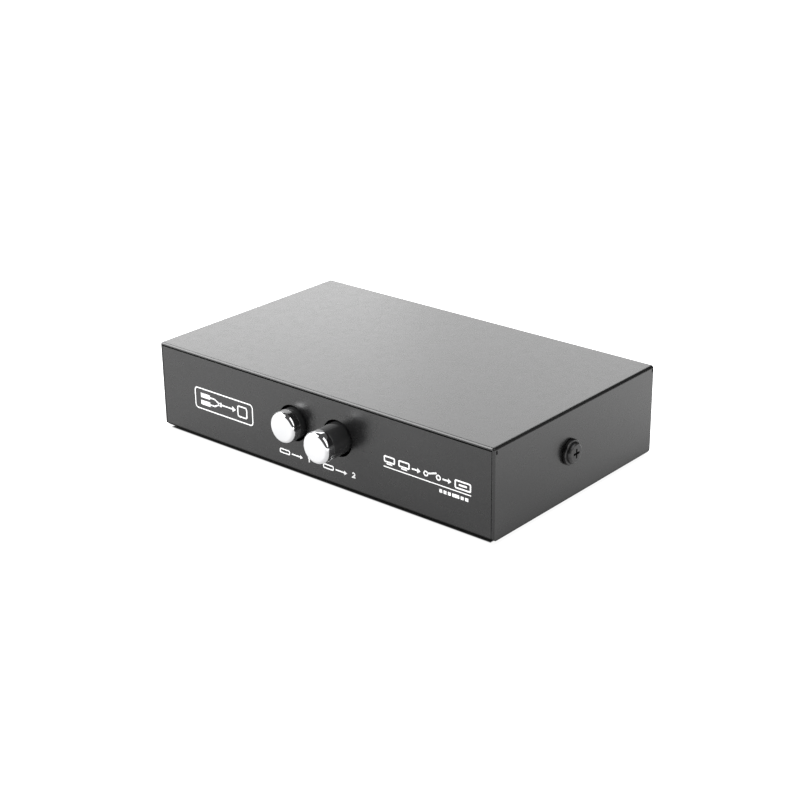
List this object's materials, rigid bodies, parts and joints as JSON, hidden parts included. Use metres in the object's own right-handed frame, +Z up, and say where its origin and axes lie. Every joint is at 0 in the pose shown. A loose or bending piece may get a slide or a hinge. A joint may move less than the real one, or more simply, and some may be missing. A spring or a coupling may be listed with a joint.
{
  "type": "usb sharing switch",
  "caption": "Small folded-steel desktop switch box: interlocked push buttons in front, square and flat data sockets behind, a cover screwed on at the sides, and rubber feet.",
  "frame": {"origin": "under the middle of the whole object, on the plane its feet stand on", "axes": "+X to the right along the front panel, +Y from the front panel to the sockets, +Z up"},
  "size_m": [0.1212, 0.0792, 0.0257],
  "materials": {
    "case_paint": "satin black powder coat",
    "black_plastic": "glossy black moulded plastic",
    "socket_plastic": "black moulded insulator",
    "white_plastic": "natural white moulded plastic",
    "laminate": "brown paper laminate",
    "board": "green solder mask over glass laminate",
    "chrome": "bright chrome plate",
    "black_screw": "black oxide",
    "zinc": "bright zinc plate",
    "nickel": "satin nickel plate",
    "brass": "plain brass",
    "gilt": "gold flash on copper alloy",
    "spring_steel": "drawn spring wire",
    "rubber": "matt black rubber"
  },
  "bodies": {
    "case": {"base_chassis": "case_paint", "top_cover": "case_paint", "side_screw_left": "black_screw", "side_screw_right": "black_screw", "foot_front_left": "rubber", "foot_front_right": "rubber", "foot_rear_left": "rubber", "foot_rear_right": "rubber", "circuit_board": "board", "board_standoff_1": "brass", "board_standoff_2": "brass", "board_standoff_3": "brass", "board_standoff_4": "brass", "board_screw_1": "zinc", "board_screw_2": "zinc", "board_screw_3": "zinc", "board_screw_4": "zinc", "usb_b_1_shell": "nickel", "usb_b_1_insert": "socket_plastic", "usb_b_1_contact_1": "gilt", "usb_b_1_contact_2": "gilt", "usb_b_1_contact_3": "gilt", "usb_b_1_contact_4": "gilt", "usb_b_2_shell": "nickel", "usb_b_2_insert": "socket_plastic", "usb_b_2_contact_1": "gilt", "usb_b_2_contact_2": "gilt", "usb_b_2_contact_3": "gilt", "usb_b_2_contact_4": "gilt", "usb_a_shell": "nickel", "usb_a_insert": "white_plastic", "usb_a_contact_1": "gilt", "usb_a_contact_2": "gilt", "usb_a_contact_3": "gilt", "usb_a_contact_4": "gilt", "switch_frame": "zinc", "latch_spring": "spring_steel", "return_spring_1": "spring_steel", "return_spring_2": "spring_steel", "switch_housing_1": "socket_plastic", "switch_base_1": "laminate", "switch_housing_2": "socket_plastic", "switch_base_2": "laminate"},
    "button_1": {"button_1_cap": "chrome", "button_1_sleeve": "black_plastic", "plunger_1": "white_plastic", "wiper_1": "brass"},
    "button_2": {"button_2_cap": "chrome", "button_2_sleeve": "black_plastic", "plunger_2": "white_plastic", "wiper_2": "brass"},
    "latch": {"latch_plate": "zinc"}
  },
  "joints": [
    {"name": "button_1_press", "type": "slide", "parent": "case", "child": "button_1", "axis": [0, 1, 0], "range_m": [-0.0042, 0], "deforming": ["return_spring_1"]},
    {"name": "button_2_press", "type": "slide", "parent": "case", "child": "button_2", "axis": [0, 1, 0], "range_m": [0, 0.0042], "deforming": ["return_spring_2"]},
    {"name": "latch_slide", "type": "slide", "parent": "case", "child": "latch", "axis": [1, 0, 0], "range_m": [0, 0.001], "stiffness_N_per_m": 200, "springref_m": -0.001, "deforming": ["latch_spring"]}
  ],
  "couplings": [
    {"joint": "button_1_press", "follows": "button_2_press", "ratio": -1}
  ]
}
